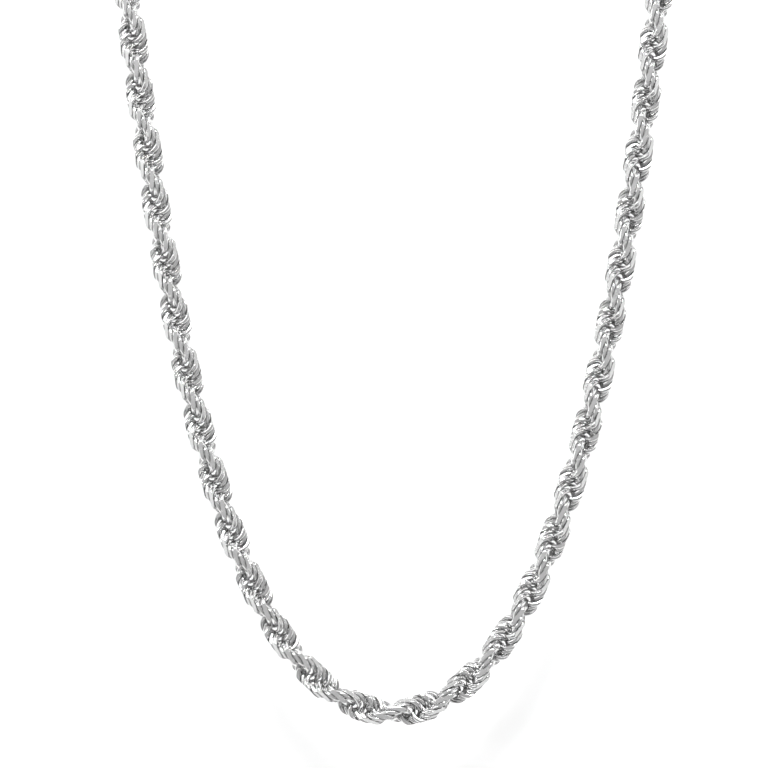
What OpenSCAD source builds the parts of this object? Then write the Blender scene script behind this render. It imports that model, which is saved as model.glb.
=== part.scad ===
// Rope chain necklace, lying unclasped on a flat surface.
// Two strands of open C links, each link threaded through its neighbours, make a
// left-hand double twist. A soldered cap, a jump ring and a lobster clasp finish one
// end, and a cap, a jump ring and a drilled tag finish the other.
// The surface is at z = 0, the front of the necklace points towards -Y.

/* [Rope] */
// Overall width of the twisted rope
rope_w = 5; // [4.8:0.1:5.2]
// Wire diameter of one link
wire_d = 0.58; // [0.4:0.02:0.6]
// Number of hinged lengths of rope, each half a twist long
groups = 48; // [44:2:48]
// Colour of the silver
silver = [0.78, 0.78, 0.79];

/* [Drape] */
// Radius of the curve at the lowest point of the front
front_r = 16.6; // [16:0.2:20]
// Rope length from the front centre to the end of the hanging curve
front_len = 142.6; // [130:1:150]
// Straight run behind the hanging curve
side_len = 40; // [30:1:45]
// Radius of the curve at the back of the neck
back_r = 50.6; // [46:0.2:60]

/* [Ends] */
// Length of an end cap's straight wall
cap_len = 3.8; // [3:0.1:4.5]
// Wire diameter of a jump ring
jump_d = 0.8; // [0.6:0.05:0.8]
// Thickness of the end tag
tag_t = 1; // [0.8:0.1:1]
// Radius of the tag's hole for the clasp
tag_hole_r = 1.7; // [1.6:0.05:1.8]

/* [Clasp] */
// Thickness of the clasp body
clasp_t = 3; // [2.8:0.1:3.2]
// Thickness of the trigger
trigger_t = 1.3; // [1.1:0.1:1.3]
// Radius of the trigger's pin
pin_r = 0.35; // [0.3:0.05:0.35]

/* [Hidden] */
links = 10;                      // links in half a twist
pitch = 2 * rope_w / links;      // rope length that one link adds
link_turn = 180 + 180 / links;   // turn about the rope's axis from one link to the next
link_r = 0.402 * rope_w;         // radius of a link's wire centre line
link_out = 0.0382 * rope_w;      // how far a link's centre sits off the rope's axis
link_lean = 6.8;                 // lean of a link's plane along the twist
gap_at = 257;                    // where round the link its gap lies
gap_half = 15;                   // half the gap's angle
first_turn = 162;                // turn of the first link, so each hinge falls at the same place
axis_z = rope_w / 2;             // height of the rope's axis over the surface
half_len = groups * links * pitch / 2;
mid_y = 112.8;                   // puts the origin in the middle of the outline
front_end = atan(front_len / front_r);
fine = 48;
over = 1;                        // how far a cutter stands past the metal

// Distances along an end, from the last hinge plane outwards
cap_wall = 0.3;                  // wall of the cap
cap_grip = 2.6;                  // length of rope inside the cap
cap_cone = 1.6;                  // length of the cone
cap_tip_r = 1.1;
eye_r = 1.35;                    // wire centre radius of the cap's eye
eye_wire = 0.38;                 // wire radius of the cap's eye
eye_x = cap_len - cap_grip + cap_cone + 0.95;
play = 0.08;                     // free play between linked rings
jump_r = (rope_w - jump_d) / 2;  // wire centre radius of a jump ring
jump_in_x = eye_x + eye_r - eye_wire - jump_d / 2 - play;
jump_x = jump_in_x + jump_r;     // centre of the jump ring
low_z = clasp_t / 2 - axis_z;    // height of the clasp's middle against the rope's axis
jump_low_x = jump_x + sqrt(jump_r * jump_r - low_z * low_z);

// Clasp, measured from the centre of its eye
clasp_eye_r = 1.4;
clasp_eye_wire = 0.4;
clasp_x = jump_low_x + 0.243;
base_x = 3.5;
base_r = 2;
head_x = 8.2;
head_r = 3.3;
throat = [[6.6, 0.1, 1.25], [8.3, -0.1, 2.05]];
mouth_angle = 78;                // where the hook's tip ends, round the head's centre
slot_t = trigger_t + 0.1;
slot_x = 2.7;
slot_end = 6;
slot_floor = -0.9;
pivot = [3.9, 0.95];
hub_r = 0.85;
pin_play = 0.05;                 // running clearance between the pin and the trigger
pin_sink = 0.1;                  // how much shorter the pin is than the body is thick
gate_tip = [9.05, 1.28, 0.4];
thumb = [5, 2.2, 0.55];
spring_at = [2.8, 1.6];
spring_r = 2.35;
spring_t = 0.12;
spring_w = 0.9;

// Tag, measured from the centre of its ring hole
tag_x = jump_low_x - 0.087;
tag_eye_r = 1.1;
tag_small_r = 1.9;
tag_long = 5.6;
tag_big_r = 2.8;
tag_tilt = 6.8;

function rope_name(k) = str("rope_", k < 9 ? "0" : "", k + 1);

// ---- the line that the rope lies on --------------------------------------------------

function asinh(t) = ln(t + sqrt(t * t + 1));
// Stretches of a half of the line: hanging curve, straight side, round back
function on_front(d) = min(d, front_len);
function on_side(d) = max(0, min(d - front_len, side_len));
function on_back(d) = max(0, d - front_len - side_len);
function heading(d) = atan(on_front(d) / front_r) + on_back(d) / back_r * 180 / PI;
function line_x(d) = front_r * asinh(on_front(d) / front_r) + on_side(d) * cos(front_end)
    + (on_back(d) > 0 ? back_r * (sin(heading(d)) - sin(front_end)) : 0);
function line_y(d) = sqrt(front_r * front_r + on_front(d) * on_front(d)) - front_r
    + on_side(d) * sin(front_end)
    + (on_back(d) > 0 ? back_r * (cos(front_end) - cos(heading(d))) : 0);

// Puts a piece whose +X runs along the rope at distance s from the front centre
module along(s) {
    side = s < 0 ? -1 : 1;
    translate([side * line_x(abs(s)), line_y(abs(s)) - mid_y, axis_z])
        rotate([0, 0, side * heading(abs(s))])
            children();
}
module clasp_end() { along(-half_len) rotate([0, 0, 180]) children(); }
module tag_end() { along(half_len) children(); }

// ---- shared shapes -------------------------------------------------------------------

module wire_ring(r, wire_r) {
    rotate_extrude($fn = fine) translate([r, 0]) circle(wire_r, $fn = fine);
}
module post(c, t) {
    translate([c[0], c[1], 0]) cylinder(h = t, r = c[2], center = true, $fn = fine);
}
// A flat bar of thickness t with round ends, wrapped round two circles [x, y, radius]
function touch(c, turn) = [c[0] + c[2] * cos(turn), c[1] + c[2] * sin(turn)];
module bar(a, b, t) {
    toward = atan2(b[1] - a[1], b[0] - a[0]);
    lean = acos((a[2] - b[2]) / norm([b[0] - a[0], b[1] - a[1]]));
    post(a, t);
    post(b, t);
    translate([0, 0, -t / 2]) linear_extrude(t)
        polygon([touch(a, toward + lean), touch(b, toward + lean),
                 touch(b, toward - lean), touch(a, toward - lean)]);
}

// ---- rope ----------------------------------------------------------------------------

module link() {
    rotate([90 - link_lean, 0, 0])
        translate([link_out, 0, 0])
            rotate([0, 0, gap_at + gap_half])
                rotate_extrude(angle = 360 - 2 * gap_half, $fn = fine)
                    translate([link_r, 0])
                        circle(d = wire_d, $fn = fine);
}
module rope_group(k) {
    color(silver)
        for (i = [k * links : (k + 1) * links - 1])
            along((i + 0.5) * pitch - half_len)
                rotate([0, 90, 0])
                    rotate([0, 0, first_turn - link_turn * i])
                        link();
}

// ---- end caps, jump rings and tag ----------------------------------------------------

module end_cap() {
    color(silver) rotate([0, 90, 0]) difference() {
        union() {
            translate([0, 0, -cap_grip]) cylinder(h = cap_len, r = rope_w / 2, $fn = fine);
            translate([0, 0, cap_len - cap_grip])
                cylinder(h = cap_cone, r1 = rope_w / 2, r2 = cap_tip_r, $fn = fine);
            translate([0, 0, eye_x]) rotate([0, 90, 0]) wire_ring(eye_r, eye_wire);
        }
        translate([0, 0, -cap_grip - over])
            cylinder(h = cap_len + over - cap_wall, r = rope_w / 2 - cap_wall, $fn = fine);
    }
}
module end_cap_clasp_side() { clasp_end() end_cap(); }
module end_cap_tag_side() { tag_end() end_cap(); }

module jump_ring() {
    color(silver) translate([jump_x, 0, 0]) rotate([90, 0, 0]) wire_ring(jump_r, jump_d / 2);
}
module jump_ring_clasp_side() { clasp_end() jump_ring(); }
module jump_ring_tag_side() { tag_end() jump_ring(); }

module end_tag() {
    color(silver) tag_end() translate([tag_x, 0, low_z]) rotate([0, tag_tilt, 0])
        difference() {
            bar([0, 0, tag_small_r], [tag_long, 0, tag_big_r], tag_t);
            post([0, 0, tag_eye_r], tag_t + over);
            post([tag_long, 0, tag_hole_r], tag_t + over);
        }
}

// ---- lobster clasp -------------------------------------------------------------------

module in_clasp() { clasp_end() translate([clasp_x, 0, low_z]) children(); }

// The side of the clasp that the gate closes, from the base round to the hook's tip
module mouth() {
    reach = 5;
    translate([0, 0, -clasp_t]) linear_extrude(2 * clasp_t)
        polygon([[head_x, 0], [head_x + reach * cos(mouth_angle), reach * sin(mouth_angle)],
                 [4.6, reach], [5, 0.6]]);
}
module clasp_body() {
    color(silver) in_clasp() difference() {
        union() {
            bar([base_x, 0, base_r], [head_x, 0, head_r], clasp_t);
            wire_ring(clasp_eye_r, clasp_eye_wire);
        }
        bar(throat[0], throat[1], clasp_t + over);
        mouth();
        translate([slot_x, slot_floor, -slot_t / 2])
            cube([slot_end - slot_x, head_r - slot_floor, slot_t]);
        post([pivot[0], pivot[1], pin_r], clasp_t + over);
    }
}
module clasp_trigger() {
    color(silver) in_clasp() difference() {
        union() {
            bar([pivot[0], pivot[1], hub_r], gate_tip, trigger_t);
            bar([pivot[0] + hub_r / 2, pivot[1], hub_r / 2], thumb, trigger_t);
        }
        post([pivot[0], pivot[1], pin_r + pin_play], trigger_t + over);
    }
}
module clasp_pin() {
    color(silver) in_clasp() post([pivot[0], pivot[1], pin_r], clasp_t - pin_sink);
}
// Leaf spring: its long end lies on the slot's floor, its tip pushes the gate shut
module clasp_spring() {
    color(silver) in_clasp() translate([spring_at[0], spring_at[1], 0]) rotate([0, 0, -92])
        rotate_extrude(angle = 52, $fn = fine)
            translate([spring_r, 0]) square([spring_t, spring_w], center = true);
}

for (k = [0 : groups - 1]) rope_group(k);
end_cap_clasp_side();
end_cap_tag_side();
jump_ring_clasp_side();
jump_ring_tag_side();
clasp_body();
clasp_trigger();
clasp_pin();
clasp_spring();
end_tag();
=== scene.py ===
"""Looks for the rope chain necklace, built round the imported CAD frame. Metres and radians."""

import math

import bpy
import numpy as np
from mathutils import Matrix, Vector


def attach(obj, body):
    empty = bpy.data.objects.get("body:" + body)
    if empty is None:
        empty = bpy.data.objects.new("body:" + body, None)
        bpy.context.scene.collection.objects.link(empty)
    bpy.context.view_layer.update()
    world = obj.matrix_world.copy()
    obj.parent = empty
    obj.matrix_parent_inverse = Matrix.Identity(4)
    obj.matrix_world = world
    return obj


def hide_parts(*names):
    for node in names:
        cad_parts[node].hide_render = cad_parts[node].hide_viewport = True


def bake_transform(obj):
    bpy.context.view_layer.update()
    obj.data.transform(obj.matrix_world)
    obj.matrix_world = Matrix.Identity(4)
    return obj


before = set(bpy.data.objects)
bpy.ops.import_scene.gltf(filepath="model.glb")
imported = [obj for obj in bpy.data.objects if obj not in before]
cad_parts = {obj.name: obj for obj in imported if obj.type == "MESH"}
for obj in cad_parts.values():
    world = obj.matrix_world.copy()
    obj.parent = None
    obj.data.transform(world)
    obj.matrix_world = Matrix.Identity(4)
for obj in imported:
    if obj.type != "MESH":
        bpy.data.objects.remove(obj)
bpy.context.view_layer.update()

MM = 0.001
TAU = 2 * math.pi

# ---- sizes shared with the CAD -------------------------------------------------------

ROPE_W = 5 * MM
LINKS = 10                             # links in half a twist, one CAD node
GROUPS = 48
PITCH = 2 * ROPE_W / LINKS
LINK_TURN = math.radians(180 + 180 / LINKS)
FIRST_TURN = math.radians(162)
LINK_R = 0.49 * ROPE_W
LINK_SHORT = 0.93                      # a link's length along the rope against its width
LINK_OUT = 0.0382 * ROPE_W
LINK_LEAN = math.radians(8)
GAP_AT, GAP_HALF = math.radians(257), math.radians(15)
AXIS_Z = ROPE_W / 2
FRONT_R, FRONT_LEN, SIDE_LEN, BACK_R = 16.6 * MM, 142.6 * MM, 40 * MM, 50.6 * MM
MID_Y = 112.8 * MM
HALF_LEN = GROUPS * LINKS * PITCH / 2
FRONT_END = math.atan(FRONT_LEN / FRONT_R)

# Along an end, outwards from the last hinge's plane
CAP_MOUTH, CAP_STRAIGHT, CAP_TIP, CAP_TIP_R = -2.6 * MM, 1.2 * MM, 2.8 * MM, 1.1 * MM
EYE_X, EYE_R, EYE_WIRE = 3.75 * MM, 1.35 * MM, 0.38 * MM
JUMP_R, JUMP_WIRE = 2.1 * MM, 0.4 * MM
JUMP_X = EYE_X + EYE_R - EYE_WIRE - JUMP_WIRE - 0.08 * MM + JUMP_R
LOW_Z = -1 * MM
JUMP_LOW_X = JUMP_X + math.sqrt(JUMP_R ** 2 - LOW_Z ** 2)
CLASP_X = JUMP_LOW_X + 0.243 * MM
TAG_X, TAG_TILT = JUMP_LOW_X - 0.087 * MM, math.radians(6.8)
TAG_SMALL_R, TAG_BIG_R, TAG_LONG = 1.9 * MM, 2.8 * MM, 5.6 * MM
SPRING_AT, SPRING_R = (2.8 * MM, 1.6 * MM), 2.35 * MM
SPRING_FROM, SPRING_TO = math.radians(-92), math.radians(-40)
SPRING_THICK, SPRING_WIDE = 0.12 * MM, 0.9 * MM

# ---- looks of the rope ---------------------------------------------------------------

WIRE_FULL = 0.46 * MM                  # radius of a link's wire where there is room
WIRE_LEAST = 0.12 * MM                 # radius of a link's wire where it is pressed thin
WIRE_GAP = 0.05 * MM                   # air left between neighbouring links
FLATS = 8                              # diamond-cut flats round the rope
FLAT_AT = ROPE_W / 2                   # distance from the rope's axis to a flat
CAP_EDGE = HALF_LEN + CAP_MOUTH        # where the end caps begin
CAP_BORE = 2.12 * MM                   # room for the rope inside a cap
AROUND, SECTION = 88, 20
NEIGHBOURS = 6                         # links on either side that a link is kept clear of
END_ROUNDING, END_THINNING = 0.12 * MM, 0.35
TOUCH_RANGE = 0.1 * WIRE_FULL          # thinning over which a place counts as touching
CAP_EASE = 1.5                         # how fast the room widens outside a cap's mouth
PAINTED_SHADE_STRENGTH = 0.45                     # painted shade: how much the silver's colour is darkened between the links
SHADE_DEPTH_SHARE = 0.7                      # how much depth alone adds to the painted shade, against contact
CUT_ROUGHNESS = 0.1                    # roughness that a diamond cut adds

# ---- looks of the ends ---------------------------------------------------------------

RING_AROUND, RING_SECTION = 120, 28
SEAM_AT = math.radians(112)            # where round a jump ring its seam lies
SEAM_HALF, SEAM_ROUNDING, SEAM_THINNING = 0.02 * MM, 0.08 * MM, 0.12
CAP_WALL = 0.3 * MM
CAP_AROUND = 96
GROOVE_HALF, GROOVE_SIDE, GROOVE_DEEP = 0.06 * MM, 0.1 * MM, 0.12 * MM
DOME_FALL, DOME_REACH = 0.3, 3.3 * MM  # share of the height lost at the clasp's edge
RIDGE_STEP, RIDGE_HIGH, RIDGE_SLANT = 0.3 * MM, 0.05 * MM, 0.4
LEVER_FROM, LEVER_FADE, LEVER_MIDDLE, LEVER_END = 1.55 * MM, 0.3 * MM, 4.9 * MM, 6 * MM
LINE_IN, LINE_WIDE, LINE_DEEP = 0.42 * MM, 0.07 * MM, 0.05 * MM
TAG_FACE = 0.4 * MM                    # height over the tag's middle where its faces begin

# ---- studio ------------------------------------------------------------------------

# Brightness of the surroundings against the height of the view, from horizon to zenith
LEFT_SIDE = [(0.0, 0.45), (0.22, 0.62), (0.36, 0.66), (0.42, 0.05),
             (0.52, 0.05), (0.6, 0.55), (1.0, 0.46)]
RIGHT_SIDE = [(0.0, 0.45), (0.18, 0.5), (0.26, 0.05), (0.36, 0.05), (0.44, 0.48), (1.0, 0.46)]
SIDES_MEET = (-0.35, 0.25)             # where, across the view, left gives way to right
FLOOR_GREY, FLOOR_GLOW = 0.9, 0.25
FLOOR_HALF = 3.0
FLOOR_Z = -20 * MM                     # low enough to hide nothing at the joints' limits
# Name, place, size (m) and power (W) of each light; all point at the origin
LIGHTS = [("top_box", (-0.05, 0.75, 1.05), (0.5, 0.5), 14),
          ("left_box", (-0.9, 0.1, 0.7), (0.15, 1.1), 2.2),
          ("right_box", (1.0, 0.3, 0.9), (0.1, 1.0), 1.2)]
CAMERA_X, CAMERA_Y, CAMERA_Z = -1.7 * MM, -MID_Y + 58.6 * MM, 1.2
PICTURE_W = 137.1 * MM                 # width of the picture at the height of the rope's axis


def heading_and_place(s):
    """Heading and place, along the rope's line, at signed distance s from the front centre."""
    d = abs(s)
    front = min(d, FRONT_LEN)
    side = max(0.0, min(d - FRONT_LEN, SIDE_LEN))
    back = max(0.0, d - FRONT_LEN - SIDE_LEN)
    turn = math.atan(front / FRONT_R) + back / BACK_R
    x = FRONT_R * math.asinh(front / FRONT_R) + side * math.cos(FRONT_END)
    y = math.hypot(FRONT_R, front) - FRONT_R + side * math.sin(FRONT_END)
    if back > 0:
        x += BACK_R * (math.sin(turn) - math.sin(FRONT_END))
        y += BACK_R * (math.cos(FRONT_END) - math.cos(turn))
    hand = -1 if s < 0 else 1
    return hand * turn, Vector((hand * x, y - MID_Y, AXIS_Z))


def rot_x(p, a):
    c, s = math.cos(a), math.sin(a)
    return np.stack([p[..., 0], c * p[..., 1] - s * p[..., 2], s * p[..., 1] + c * p[..., 2]], -1)


def rot_z(p, a):
    c, s = math.cos(a), math.sin(a)
    return np.stack([c * p[..., 0] - s * p[..., 1], s * p[..., 0] + c * p[..., 1], p[..., 2]], -1)


def link_frame(a):
    """Wire centre, ring-outward and ring-normal directions at ring angles a, rope's axis on +Z."""
    flat = np.stack([np.cos(a), np.sin(a), 0 * a], -1)
    centre = flat * np.array([LINK_R, LINK_R * LINK_SHORT, 0]) + np.array([LINK_OUT, 0, 0])
    lean = math.pi / 2 - LINK_LEAN
    normal = rot_x(np.array([0.0, 0.0, 1.0]), lean)
    return rot_x(centre, lean), rot_x(flat, lean), np.broadcast_to(normal, centre.shape)


def smooth(r):
    """Evens out radii (ring, section): once round the section, then twice along the wire."""
    r = (np.roll(r, 1, 1) + 2 * r + np.roll(r, -1, 1)) / 4
    for _ in range(2):
        ends = np.concatenate([r[:1], r, r[-1:]])
        r = (ends[:-2] + 2 * ends[1:-1] + ends[2:]) / 4
    return r


def section_radii(a, v):
    """How far the wire's surface lies from its centre line, so that neighbours only just clear."""
    centre, out, normal = link_frame(a)
    ways = out[:, None] * np.cos(v)[None, :, None] + normal[:, None] * np.sin(v)[None, :, None]
    reach = np.full(ways.shape[:2], WIRE_FULL)
    tiny = MM / 1000
    for k in [k for k in range(-NEIGHBOURS, NEIGHBOURS + 1) if k]:
        other = rot_z(centre, -LINK_TURN * k) + np.array([0, 0, PITCH * k])
        gap = other[None] - centre[:, None]
        squared = (gap ** 2).sum(-1)
        along = np.einsum("ijk,ivk->ivj", gap, ways)
        halfway = np.where(along > tiny, squared[:, None] / (2 * np.maximum(along, tiny)), 1.0)
        reach = np.minimum(reach, halfway.min(-1) - WIRE_GAP)
    limit = np.maximum(reach, WIRE_LEAST)
    r = limit
    for _ in range(6):
        r = np.minimum(smooth(r), limit)
    return np.maximum(r, WIRE_LEAST)


def cut_flats(p):
    """Presses points that stand past a diamond-cut flat back onto it. Returns points and marks."""
    cut = np.zeros(p.shape[:-1])
    for k in range(FLATS):
        way = k * TAU / FLATS
        normal = np.array([math.cos(way), math.sin(way), 0])
        proud = np.maximum(p @ normal - FLAT_AT, 0)
        p = p - proud[..., None] * normal
        cut = np.maximum(cut, proud > 0)
    return p, cut


def fit_in_caps(p, place):
    """Presses the ends of the rope in, so that they fit the bores of the end caps."""
    outside = CAP_EDGE - np.abs(place + p[..., 2])
    room = CAP_BORE + CAP_EASE * np.maximum(outside, 0)
    across = np.hypot(p[..., 0], p[..., 1])
    shrink = np.minimum(1, room / np.maximum(across, MM / 100))
    return p * np.stack([shrink, shrink, np.ones_like(shrink)], -1)


def link_shape():
    """Points (ring, section) of one link with rounded ends, and how near a neighbour each lies."""
    half = math.pi - GAP_HALF
    a = GAP_AT + math.pi + np.linspace(-half, half, AROUND)
    v = np.arange(SECTION) / SECTION * TAU
    r = section_radii(a, v)
    touching = np.clip((WIRE_FULL - r) / TOUCH_RANGE, 0, 1)
    from_end = (half - np.abs(a - GAP_AT - math.pi)) * LINK_R
    t = np.clip(1 - from_end / END_ROUNDING, 0, 1)
    r = r * (1 - END_THINNING * t ** 2)[:, None]
    centre, out, normal = link_frame(a)
    ways = out[:, None] * np.cos(v)[None, :, None] + normal[:, None] * np.sin(v)[None, :, None]
    return centre[:, None] + ways * r[..., None], touching


def skin(rows, closed):
    """Faces over a grid of points (row, round), with the first and last rows filled if open."""
    count, across = rows
    faces = []
    for i in range(count if closed else count - 1):
        for j in range(across):
            k, n = (j + 1) % across, (i + 1) % count
            faces.append((i * across + j, i * across + k, n * across + k, n * across + j))
    if not closed:
        faces.append(tuple(range(across))[::-1])
        faces.append(tuple((count - 1) * across + j for j in range(across)))
    return faces


def add_mark(mesh, name, values):
    """A number per point of the mesh, for the material to read."""
    mark = mesh.attributes.new(name, "FLOAT", "POINT")
    mark.data.foreach_set("value", np.concatenate(values).astype(np.float32))


def add_piece(mesh, name, body, material):
    """Puts a mesh in the scene in place of the CAD node of that name."""
    mesh.materials.append(material)
    piece = bpy.data.objects.new(mesh.name, mesh)
    bpy.context.scene.collection.objects.link(piece)
    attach(piece, body)
    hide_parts(name)


def make_rope(k, base, touching, faces, material):
    """One hinged length of rope: ten links at their places along the line."""
    points, cuts, painted_shade_amounts, polygons = [], [], [], []
    for n in range(LINKS):
        i = k * LINKS + n
        along = (i + 0.5) * PITCH - HALF_LEN
        turned, cut = cut_flats(fit_in_caps(rot_z(base, FIRST_TURN - LINK_TURN * i), along))
        depth = 1 - np.hypot(turned[..., 0], turned[..., 1]) / FLAT_AT
        laid = np.stack([turned[..., 2], turned[..., 1], -turned[..., 0]], -1)
        turn, place = heading_and_place(along)
        laid = rot_z(laid, turn) + np.array(place)
        points.append(laid.reshape(-1, 3))
        cuts.append(cut.reshape(-1))
        # painted shade: darker where links nearly touch and deeper in from the diamond-cut flats
        painted_shade_amounts.append(np.clip(np.maximum(touching, SHADE_DEPTH_SHARE * depth), 0, 1).reshape(-1))
        polygons += [tuple(n * AROUND * SECTION + p for p in face) for face in faces]
    name = f"rope_{k + 1:02d}"
    mesh = bpy.data.meshes.new(name + "_links")
    mesh.from_pydata(np.concatenate(points).tolist(), [], polygons)
    mesh.shade_smooth()
    add_mark(mesh, "diamond_cut", cuts)
    add_mark(mesh, "painted_shade", painted_shade_amounts)
    add_piece(mesh, name, name, material)


# ---- end caps, jump rings, clasp and tag ---------------------------------------------


def end_frame(hand):
    """Turn (a matrix) and origin of an end: +X outwards from the last hinge's plane."""
    turn, place = heading_and_place(hand * HALF_LEN)
    turn += math.pi if hand < 0 else 0
    c, s = math.cos(turn), math.sin(turn)
    return np.array([[c, -s, 0], [s, c, 0], [0, 0, 1]]), np.array(place)


def to_world(p, hand):
    turn, origin = end_frame(hand)
    return p @ turn.T + origin


def to_end(p, hand):
    turn, origin = end_frame(hand)
    return (p - origin) @ turn


def ring_grid(radius, wire_r, upright, seam=None):
    """Grid of points of a wire ring round the origin, open by a hair at the angle seam."""
    if seam is None:
        a = np.arange(RING_AROUND) / RING_AROUND * TAU
        wire_r = np.full(RING_AROUND, wire_r)
    else:
        half = math.pi - SEAM_HALF / radius
        from_far_side = np.linspace(-half, half, RING_AROUND)
        a = seam + math.pi + from_far_side
        t = np.clip(1 - (half - np.abs(from_far_side)) * radius / SEAM_ROUNDING, 0, 1)
        wire_r = wire_r * (1 - SEAM_THINNING * t ** 2)
    v = np.arange(RING_SECTION) / RING_SECTION * TAU
    out = radius + wire_r[:, None] * np.cos(v)
    off = wire_r[:, None] * np.sin(v)
    first, second = out * np.cos(a)[:, None], out * np.sin(a)[:, None]
    return np.stack([first, off, second] if upright else [first, second, off], -1)


def soften(profile, times):
    """Cuts the corners of an open path of points."""
    p = np.array(profile)
    for _ in range(times):
        quarter, rest = 0.75 * p[:-1] + 0.25 * p[1:], 0.25 * p[:-1] + 0.75 * p[1:]
        p = np.concatenate([p[:1], np.stack([quarter, rest], 1).reshape(-1, 2), p[-1:]])
    return p


def groove(x, r):
    """Points of a turned groove at x in a wall of radius r."""
    return [(x - GROOVE_HALF, r - GROOVE_SIDE), (x, r - GROOVE_DEEP),
            (x + GROOVE_HALF, r - GROOVE_SIDE)]


def make_cap(name, body, hand, material):
    """Soldered end cap: turned cup with a rolled rim and a shoulder bead, and a wire eye."""
    r, m, bore = ROPE_W / 2, CAP_MOUTH, ROPE_W / 2 - CAP_WALL
    inside = [(0.9 * MM, 0.05 * MM), (0.9 * MM, bore), (0.7 * MM, bore), (m + 0.2 * MM, bore)]
    rim = [(m, bore), (m, r - 0.15 * MM), (m, r), (m + 0.15 * MM, r), (m + 0.45 * MM, r),
           (m + 0.52 * MM, r)]
    wall = [(m + 0.7 * MM, r - 0.04 * MM), (m + 0.9 * MM, r - 0.03 * MM),
            (0.4 * MM, r - 0.03 * MM), (0.5 * MM, r - 0.04 * MM)]
    shoulder = [(0.7 * MM, r), (0.85 * MM, r), (1.05 * MM, r), (CAP_STRAIGHT, r - 0.02 * MM)]
    cone = [(1.45 * MM, r - 0.3 * MM), (2.1 * MM, 1.62 * MM), (2.6 * MM, 1.22 * MM),
            (CAP_TIP, CAP_TIP_R)]
    tip = [(CAP_TIP + 0.1 * MM, 0.9 * MM), (CAP_TIP + 0.16 * MM, 0.4 * MM),
           (CAP_TIP + 0.16 * MM, 0.05 * MM)]
    path = soften(inside + rim + groove(m + 0.6 * MM, r) + wall + groove(0.6 * MM, r)
                  + shoulder + cone + tip, 3)
    v = np.arange(CAP_AROUND) / CAP_AROUND * TAU
    cup = np.stack([path[:, :1] + 0 * v, path[:, 1:] * np.cos(v), path[:, 1:] * np.sin(v)], -1)
    eye = ring_grid(EYE_R, EYE_WIRE, upright=False) + np.array([EYE_X, 0, 0])
    points, faces = [cup.reshape(-1, 3), eye.reshape(-1, 3)], skin(cup.shape[:2], False)
    faces += [tuple(n + len(points[0]) for n in f) for f in skin(eye.shape[:2], True)]
    mesh = bpy.data.meshes.new(name + "_turned")
    mesh.from_pydata(to_world(np.concatenate(points), hand).tolist(), [], faces)
    mesh.shade_smooth()
    add_piece(mesh, name, body, material)


def make_jump_ring(name, hand, material):
    grid = ring_grid(JUMP_R, JUMP_WIRE, upright=True, seam=SEAM_AT)
    grid = grid + np.array([JUMP_X, 0, 0])
    mesh = bpy.data.meshes.new(name + "_wire")
    mesh.from_pydata(to_world(grid.reshape(-1, 3), hand).tolist(), [], skin(grid.shape[:2], False))
    mesh.shade_smooth()
    add_piece(mesh, name, name, material)


def cast_mesh(name, cell, passes, shape):
    """A CAD node's shape as a polished casting, rounded at its edges and then put through shape().

    cell is the remeshed faces' size in millimetres, and passes how often the mesh is evened out.
    """
    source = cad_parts[name]
    mesh = source.data.copy()
    mesh.transform(source.matrix_world)
    mesh.transform(Matrix.Scale(1 / MM, 4))
    rough = bpy.data.objects.new(name + "_rough", mesh)
    bpy.context.scene.collection.objects.link(rough)
    remesh = rough.modifiers.new("even", "REMESH")
    remesh.mode = "VOXEL"
    remesh.voxel_size = cell
    seen = rough.evaluated_get(bpy.context.evaluated_depsgraph_get())
    cast = bpy.data.meshes.new_from_object(seen)
    bpy.data.objects.remove(rough)
    bpy.data.meshes.remove(mesh)
    count = len(cast.vertices)
    p = np.empty(count * 3, np.float32)
    cast.vertices.foreach_get("co", p)
    p = p.reshape(-1, 3).astype(float)
    edges = np.empty(len(cast.edges) * 2, np.int32)
    cast.edges.foreach_get("vertices", edges)
    a, b = edges.reshape(-1, 2).T
    ends, others = np.concatenate([a, b]), np.concatenate([b, a])
    degree = np.maximum(np.bincount(ends, minlength=count), 1)[:, None]
    for _ in range(passes):
        near = np.stack([np.bincount(ends, p[others, c], count) for c in range(3)], -1) / degree
        p = p + 0.5 * (near - p)
    p = shape(p * MM)
    cast.vertices.foreach_set("co", p.astype(np.float32).reshape(-1))
    cast.update()
    cast.name = name + "_cast"
    cast.materials.clear()
    cast.shade_smooth()
    return cast


def dome_clasp(p):
    """The casting is fullest along its middle and thins towards its edges."""
    q = to_end(p, -1)
    z = q[:, 2] - LOW_Z
    edge = np.minimum(np.abs(q[:, 1]) / DOME_REACH, 1)
    q[:, 2] = LOW_Z + z * (1 - DOME_FALL * edge ** 2)
    return to_world(q, -1)


def ridge_trigger(p):
    """Fine grip ridges across the thumb lever."""
    q = to_end(p, -1)
    x, y = q[:, 0] - CLASP_X, q[:, 1]
    lever = np.clip((y - LEVER_FROM) / LEVER_FADE, 0, 1) * (x < LEVER_END)
    wave = 0.5 - 0.5 * np.cos(TAU * (y + RIDGE_SLANT * x) / RIDGE_STEP)
    q[:, 0] += RIDGE_HIGH * lever * wave * np.clip((LEVER_MIDDLE - x) / LEVER_FADE, -1, 1)
    return to_world(q, -1)


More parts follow.
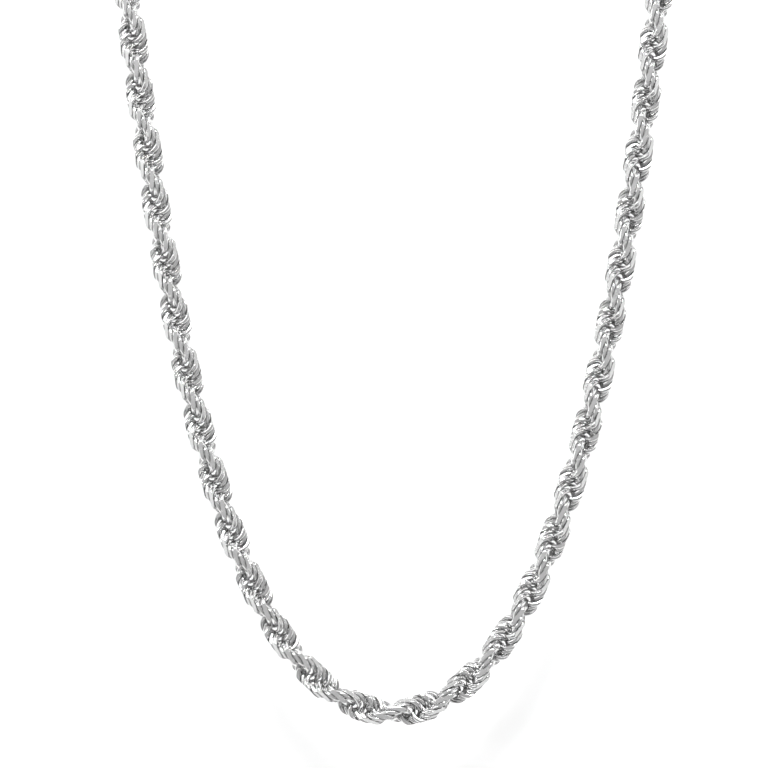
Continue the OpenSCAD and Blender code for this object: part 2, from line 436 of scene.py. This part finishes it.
def engrave_tag(p):
    """A shallow line engraved inside the tag's edge, on both faces."""
    q = to_end(p, 1) - np.array([TAG_X, 0, LOW_Z])
    c, s = math.cos(-TAG_TILT), math.sin(-TAG_TILT)
    q = np.stack([c * q[:, 0] + s * q[:, 2], q[:, 1], c * q[:, 2] - s * q[:, 0]], -1)
    inside = np.full(len(q), -1.0)
    for t in np.linspace(0, 1, 41):
        radius = TAG_SMALL_R + t * (TAG_BIG_R - TAG_SMALL_R)
        inside = np.maximum(inside, radius - np.hypot(q[:, 0] - t * TAG_LONG, q[:, 1]))
    line = np.exp(-((inside - LINE_IN) / LINE_WIDE) ** 2)
    face = np.abs(q[:, 2]) > TAG_FACE
    q[:, 2] -= np.sign(q[:, 2]) * LINE_DEEP * line * face
    q = np.stack([c * q[:, 0] - s * q[:, 2], q[:, 1], c * q[:, 2] + s * q[:, 0]], -1)
    return to_world(q + np.array([TAG_X, 0, LOW_Z]), 1)


def make_spring(name, material):
    """Leaf spring: its long end stays on the slot's floor."""
    a = np.linspace(SPRING_FROM, SPRING_TO, 60)[:, None]
    v = np.arange(24) / 24 * TAU
    square = 0.25                      # below 1, the section is nearer to a rectangle
    thick = SPRING_THICK / 2 * np.sign(np.cos(v)) * np.abs(np.cos(v)) ** square
    wide = SPRING_WIDE / 2 * np.sign(np.sin(v)) * np.abs(np.sin(v)) ** square
    out = SPRING_R + thick
    grid = np.stack([CLASP_X + SPRING_AT[0] + out * np.cos(a), SPRING_AT[1] + out * np.sin(a),
                     LOW_Z + wide + 0 * a], -1)
    mesh = bpy.data.meshes.new(name + "_leaf")
    mesh.from_pydata(to_world(grid.reshape(-1, 3), -1).tolist(), [], skin(grid.shape[:2], False))
    mesh.materials.append(material)
    piece = bpy.data.objects.new(mesh.name, mesh)
    bpy.context.scene.collection.objects.link(piece)
    middle = to_world(grid.mean(1), -1)
    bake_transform(piece)
    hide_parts(name)


def make_casting(name, body, cell, passes, shape, material):
    mesh = cast_mesh(name, cell, passes, shape)
    add_piece(mesh, name, body, material)


# ---- materials -----------------------------------------------------------------------


def silver(name, roughness, scratch_scale, scratch_depth, cut_mark=False):
    """Polished silver: fine polishing lines, soft mottling, a little roughness change and painted
    shade where a mesh carries the shade mark.
    """
    material = bpy.data.materials.new(name)
    material.use_nodes = True
    tree = material.node_tree
    nodes, wire = tree.nodes, tree.links.new
    shader = nodes["Principled BSDF"]
    shader.inputs["Metallic"].default_value = 1.0
    place = nodes.new("ShaderNodeTexCoord")
    mottle = nodes.new("ShaderNodeTexNoise")
    mottle.inputs["Scale"].default_value = 900
    mottle.inputs["Detail"].default_value = 3
    wire(place.outputs["Object"], mottle.inputs["Vector"])
    tone = nodes.new("ShaderNodeMapRange")
    tone.inputs["To Min"].default_value = 0.80
    tone.inputs["To Max"].default_value = 0.93
    wire(mottle.outputs["Fac"], tone.inputs["Value"])
    # painted shade: the base colour is darkened by the mesh's shade mark
    painted_shade = nodes.new("ShaderNodeAttribute")
    painted_shade.attribute_name = "painted_shade"
    dim = nodes.new("ShaderNodeMath")
    dim.operation = "MULTIPLY_ADD"
    dim.inputs[1].default_value = -PAINTED_SHADE_STRENGTH
    dim.inputs[2].default_value = 1.0
    wire(painted_shade.outputs["Fac"], dim.inputs[0])
    shaded_tone = nodes.new("ShaderNodeMath")
    shaded_tone.operation = "MULTIPLY"
    wire(tone.outputs["Result"], shaded_tone.inputs[0])
    wire(dim.outputs["Value"], shaded_tone.inputs[1])
    colour = nodes.new("ShaderNodeCombineColor")
    for channel in ("Red", "Green", "Blue"):
        wire(shaded_tone.outputs["Value"], colour.inputs[channel])
    wire(colour.outputs["Color"], shader.inputs["Base Color"])
    rough = nodes.new("ShaderNodeMapRange")
    rough.inputs["To Min"].default_value = roughness * 0.7
    rough.inputs["To Max"].default_value = roughness * 1.3
    wire(mottle.outputs["Fac"], rough.inputs["Value"])
    if cut_mark:
        mark = nodes.new("ShaderNodeAttribute")
        mark.attribute_name = "diamond_cut"
        rougher = nodes.new("ShaderNodeMath")
        rougher.operation = "MULTIPLY_ADD"
        rougher.inputs[1].default_value = CUT_ROUGHNESS
        wire(mark.outputs["Fac"], rougher.inputs[0])
        wire(rough.outputs["Result"], rougher.inputs[2])
        wire(rougher.outputs["Value"], shader.inputs["Roughness"])
    else:
        wire(rough.outputs["Result"], shader.inputs["Roughness"])
    lines = nodes.new("ShaderNodeTexNoise")
    lines.inputs["Scale"].default_value = scratch_scale
    lines.inputs["Detail"].default_value = 2
    wire(place.outputs["Object"], lines.inputs["Vector"])
    bump = nodes.new("ShaderNodeBump")
    bump.inputs["Strength"].default_value = scratch_depth
    bump.inputs["Distance"].default_value = 0.02 * MM
    wire(lines.outputs["Fac"], bump.inputs["Height"])
    wire(bump.outputs["Normal"], shader.inputs["Normal"])
    return material


def floor_material():
    material = bpy.data.materials.new("white_paper")
    material.use_nodes = True
    shader = material.node_tree.nodes["Principled BSDF"]
    shader.inputs["Base Color"].default_value = (FLOOR_GREY, FLOOR_GREY, FLOOR_GREY, 1)
    shader.inputs["Roughness"].default_value = 0.9
    shader.inputs["Emission Color"].default_value = (1, 1, 1, 1)
    shader.inputs["Emission Strength"].default_value = FLOOR_GLOW
    return material


# ---- stage ---------------------------------------------------------------------------


def make_floor():
    mesh = bpy.data.meshes.new("floor")
    corners = [(x * FLOOR_HALF, y * FLOOR_HALF, FLOOR_Z)
               for x, y in ((-1, -1), (1, -1), (1, 1), (-1, 1))]
    mesh.from_pydata(corners, [], [(0, 1, 2, 3)])
    mesh.materials.append(floor_material())
    floor = bpy.data.objects.new("floor", mesh)
    bpy.context.scene.collection.objects.link(floor)


def make_light(name, place, size, power):
    data = bpy.data.lights.new(name, "AREA")
    data.shape = "RECTANGLE"
    data.size, data.size_y = size
    data.energy = power
    light = bpy.data.objects.new(name, data)
    light.location = place
    light.rotation_euler = (-Vector(place)).to_track_quat("-Z", "Y").to_euler()
    light.visible_camera = False
    bpy.context.scene.collection.objects.link(light)


def grey_ramp(tree, heights):
    """A ramp node of greys, dark to light as listed, over the height of the view."""
    ramp = tree.nodes.new("ShaderNodeValToRGB")
    stops = ramp.color_ramp.elements
    stops[0].position, stops[1].position = heights[0][0], heights[-1][0]
    for height, _ in heights[1:-1]:
        stops.new(height)
    for stop, (height, grey) in zip(stops, heights):
        stop.color = (grey, grey, grey, 1)
    return ramp


def make_world():
    """Surroundings for the silver to reflect: white paper on the left, grey on the right."""
    world = bpy.data.worlds.new("studio")
    world.use_nodes = True
    tree = world.node_tree
    nodes, wire = tree.nodes, tree.links.new
    place = nodes.new("ShaderNodeTexCoord")
    split = nodes.new("ShaderNodeSeparateXYZ")
    side = nodes.new("ShaderNodeMapRange")
    side.interpolation_type = "SMOOTHSTEP"
    side.inputs["From Min"].default_value, side.inputs["From Max"].default_value = SIDES_MEET
    mix = nodes.new("ShaderNodeMix")
    mix.data_type = "RGBA"
    wire(place.outputs["Generated"], split.inputs["Vector"])
    wire(split.outputs["X"], side.inputs["Value"])
    wire(side.outputs["Result"], mix.inputs["Factor"])
    colour_a, colour_b, colour_out = mix.inputs[6], mix.inputs[7], mix.outputs[2]
    for socket, heights in ((colour_a, LEFT_SIDE), (colour_b, RIGHT_SIDE)):
        ramp = grey_ramp(tree, heights)
        wire(split.outputs["Z"], ramp.inputs["Fac"])
        wire(ramp.outputs["Color"], socket)
    wire(colour_out, nodes["Background"].inputs["Color"])
    bpy.context.scene.world = world


def make_camera():
    """Straight down on the front of the necklace, up the picture along +Y."""
    data = bpy.data.cameras.new("camera")
    data.sensor_width = 36
    data.lens = data.sensor_width * (CAMERA_Z - AXIS_Z) / PICTURE_W
    data.clip_start, data.clip_end = 0.01, 20
    camera = bpy.data.objects.new("camera", data)
    camera.location = (CAMERA_X, CAMERA_Y, CAMERA_Z)
    bpy.context.scene.collection.objects.link(camera)
    bpy.context.scene.camera = camera


make_camera()
make_floor()
make_world()
for light in LIGHTS:
    make_light(*light)
links_silver = silver("silver_links", 0.16, 2600, 0.12, cut_mark=True)
findings_silver = silver("silver_findings", 0.16, 1800, 0.3)
base, touching = link_shape()
link_faces = skin((AROUND, SECTION), False)
for k in range(GROUPS):
    make_rope(k, base, touching, link_faces, links_silver)
make_cap("end_cap_clasp_side", "rope_01", -1, findings_silver)
make_cap("end_cap_tag_side", "rope_48", 1, findings_silver)
make_jump_ring("jump_ring_clasp_side", -1, findings_silver)
make_jump_ring("jump_ring_tag_side", 1, findings_silver)
make_casting("clasp_body", "clasp", 0.08, 8, dome_clasp, findings_silver)
make_casting("clasp_trigger", "clasp_trigger", 0.05, 8, ridge_trigger, findings_silver)
make_casting("end_tag", "end_tag", 0.06, 6, engrave_tag, findings_silver)
make_spring("clasp_spring", findings_silver)
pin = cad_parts["clasp_pin"]
pin.data.materials.clear()
pin.data.materials.append(findings_silver)
bpy.context.scene.view_settings.view_transform = "Standard"
